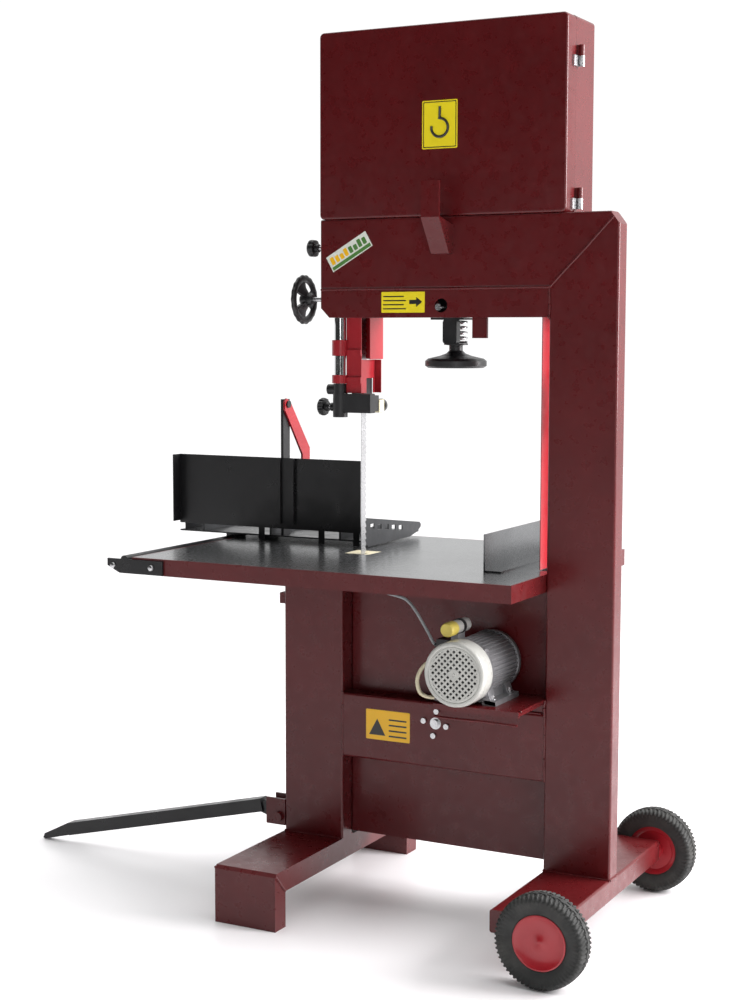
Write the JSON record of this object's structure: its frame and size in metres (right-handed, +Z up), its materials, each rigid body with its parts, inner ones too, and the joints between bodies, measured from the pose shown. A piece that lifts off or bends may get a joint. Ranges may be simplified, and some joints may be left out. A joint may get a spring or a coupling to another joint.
{
  "type": "band saw",
  "caption": "Firewood band saw with a tube frame, two enclosed band wheels, log carriage on a slide rod, drawbar and transport wheels.",
  "frame": {"origin": "centre of the footprint box, on the ground", "axes": "+X along the frame from the drawbar to the column, +Y from the motor side to the door side, +Z up"},
  "size_m": [1.7962, 0.965, 2.184],
  "materials": {
    "frame_paint": "satin, fine texture",
    "bright_paint": "semi-gloss",
    "black_paint": "satin",
    "table_steel": "ground, oiled",
    "bright_steel": "turned",
    "cast_iron": "machined rim",
    "motor_paint": "cast, ribbed",
    "grille": "satin",
    "black_plastic": "moulded",
    "insert_plastic": "smooth",
    "cable_sheath": "smooth",
    "belt_rubber": "matt",
    "tyre_rubber": "moulded tread",
    "green_plastic": "gloss",
    "red_plastic": "gloss"
  },
  "bodies": {
    "frame": {"column": "frame_paint", "arm": "frame_paint", "arm_box": "frame_paint", "left_post": "frame_paint", "cross_tube": "frame_paint", "left_foot": "frame_paint", "right_beam": "frame_paint", "upper_shell": "frame_paint", "lower_panel": "frame_paint", "table_frame": "frame_paint", "table_top": "table_steel", "table_insert": "insert_plastic", "length_stop": "table_steel", "lift_hook": "frame_paint", "motor_shelf": "frame_paint", "motor_body": "motor_paint", "fan_cover": "grille", "terminal_box": "black_plastic", "capacitor": "motor_paint", "cables": "cable_sheath", "lower_axle": "bright_steel", "drawbar_bracket": "frame_paint", "rod_bracket": "black_paint", "slide_rod": "black_paint", "tension_housing": "black_paint", "tension_spring": "bright_steel", "blade_guard": "bright_paint", "door_hinges": "bright_steel", "switch_box": "black_plastic", "drive_belt": "belt_rubber", "blade": "bright_steel", "fasteners": "bright_steel"},
    "upper_door": {"upper_door": "frame_paint"},
    "lower_door": {"lower_door": "frame_paint"},
    "upper_latch": {"upper_latch": "black_plastic"},
    "lower_latch": {"lower_latch": "black_plastic"},
    "tension_wheel": {"tension_handwheel": "black_plastic"},
    "tension_slide": {"tension_slide": "bright_steel"},
    "upper_wheel": {"upper_wheel": "cast_iron", "upper_tyre": "belt_rubber"},
    "lower_wheel": {"lower_wheel": "cast_iron", "lower_tyre": "belt_rubber"},
    "motor_rotor": {"motor_rotor": "bright_steel"},
    "tracking_screw": {"tracking_screw": "bright_steel"},
    "guide": {"guide_post": "bright_steel", "sliding_guard": "bright_paint", "guide_head": "black_plastic"},
    "guide_discs": {"guide_discs": "bright_steel"},
    "guide_knob": {"guide_knob": "black_plastic"},
    "guide_handwheel": {"guide_handwheel": "black_plastic"},
    "guide_lock": {"guide_lock": "black_plastic"},
    "carriage": {"carriage": "black_paint", "log_bed": "black_paint", "clamp_post": "black_paint"},
    "clamp_arm": {"clamp_arm": "bright_paint"},
    "front_wheel": {"front_wheel": "tyre_rubber"},
    "rear_wheel": {"rear_wheel": "tyre_rubber"},
    "drawbar": {"drawbar": "black_paint"},
    "start_button": {"start_button": "green_plastic"},
    "stop_button": {"stop_button": "red_plastic"}
  },
  "joints": [
    {"name": "upper_door_swing", "type": "hinge", "parent": "frame", "child": "upper_door", "pos_m": [0.69313, -0.0305, 1.775], "axis": [0, 0, -1], "range_deg": [0, 95]},
    {"name": "lower_door_swing", "type": "hinge", "parent": "frame", "child": "lower_door", "pos_m": [0.01113, -0.0265, 0.715], "axis": [0, 0, 1], "range_deg": [0, 95]},
    {"name": "upper_latch_turn", "type": "hinge", "parent": "upper_door", "child": "upper_latch", "pos_m": [0.06713, 0.0895, 1.9], "axis": [0, 1, 0], "range_deg": [0, 90]},
    {"name": "lower_latch_turn", "type": "hinge", "parent": "lower_door", "child": "lower_latch", "pos_m": [0.63713, 0.0895, 0.5], "axis": [0, 1, 0], "range_deg": [0, 90]},
    {"name": "tension_turn", "type": "hinge", "parent": "frame", "child": "tension_wheel", "pos_m": [0.35213, 0.0145, 1.369], "axis": [0, 0, 1], "range_deg": [-2400, 0]},
    {"name": "tension_lift", "type": "slide", "parent": "frame", "child": "tension_slide", "axis": [0, 0, 1], "range_m": [-0.0202, 0.0002]},
    {"name": "upper_wheel_spin", "type": "hinge", "parent": "tension_slide", "child": "upper_wheel", "pos_m": [0.35213, 0.0415, 1.85], "axis": [0, 1, 0], "continuous": true},
    {"name": "lower_wheel_spin", "type": "hinge", "parent": "frame", "child": "lower_wheel", "pos_m": [0.35213, 0.0415, 0.475], "axis": [0, 1, 0], "continuous": true},
    {"name": "motor_spin", "type": "hinge", "parent": "frame", "child": "motor_rotor", "pos_m": [0.48963, -0.0925, 0.644], "axis": [0, 1, 0], "continuous": true},
    {"name": "tracking_turn", "type": "hinge", "parent": "frame", "child": "tracking_screw", "pos_m": [0.35413, -0.0725, 1.506], "axis": [0, 1, 0], "range_deg": [-180, 180]},
    {"name": "guide_lift", "type": "slide", "parent": "frame", "child": "guide", "axis": [0, 0, 1], "range_m": [-0.27, 0]},
    {"name": "guide_turn", "type": "hinge", "parent": "frame", "child": "guide_handwheel", "pos_m": [-0.04287, -0.0485, 1.528], "axis": [1, 0, 0], "range_deg": [-1105.8, 0.8]},
    {"name": "guide_disc_spin", "type": "hinge", "parent": "guide", "child": "guide_discs", "pos_m": [0.07763, 0.0315, 1.309], "axis": [1, 0, 0], "continuous": true},
    {"name": "guide_knob_turn", "type": "hinge", "parent": "guide", "child": "guide_knob", "pos_m": [-0.01887, -0.0025, 1.253], "axis": [1, 0, 0], "range_deg": [-180, 180]},
    {"name": "guide_lock_turn", "type": "hinge", "parent": "frame", "child": "guide_lock", "pos_m": [-0.03787, -0.0185, 1.659], "axis": [1, 0, 0], "range_deg": [-180, 180]},
    {"name": "carriage_slide", "type": "slide", "parent": "frame", "child": "carriage", "axis": [0, 1, 0], "range_m": [-0.42, 0.02]},
    {"name": "clamp_swing", "type": "hinge", "parent": "carriage", "child": "clamp_arm", "pos_m": [-0.23787, 0.1855, 1.248], "axis": [1, 0, 0], "range_deg": [0, 75]},
    {"name": "front_wheel_spin", "type": "hinge", "parent": "frame", "child": "front_wheel", "pos_m": [0.79013, -0.4515, 0.108], "axis": [0, 1, 0], "continuous": true},
    {"name": "rear_wheel_spin", "type": "hinge", "parent": "frame", "child": "rear_wheel", "pos_m": [0.79013, 0.3185, 0.108], "axis": [0, 1, 0], "continuous": true},
    {"name": "drawbar_swing", "type": "hinge", "parent": "frame", "child": "drawbar", "pos_m": [-0.10287, -0.0655, 0.177], "axis": [0, 1, 0], "range_deg": [0, 70]},
    {"name": "start_press", "type": "slide", "parent": "frame", "child": "start_button", "axis": [0, -1, 0], "range_m": [0, 0.004], "stiffness_N_per_m": 400},
    {"name": "stop_press", "type": "slide", "parent": "frame", "child": "stop_button", "axis": [0, -1, 0], "range_m": [0, 0.004], "stiffness_N_per_m": 400}
  ],
  "couplings": [
    {"joint": "tension_lift", "follows": "tension_turn", "m_per_rad": 0.00047746},
    {"joint": "guide_turn", "follows": "guide_lift", "rad_per_m": 71.429},
    {"joint": "upper_wheel_spin", "follows": "lower_wheel_spin", "ratio": 1},
    {"joint": "motor_spin", "follows": "lower_wheel_spin", "ratio": 3.5}
  ]
}
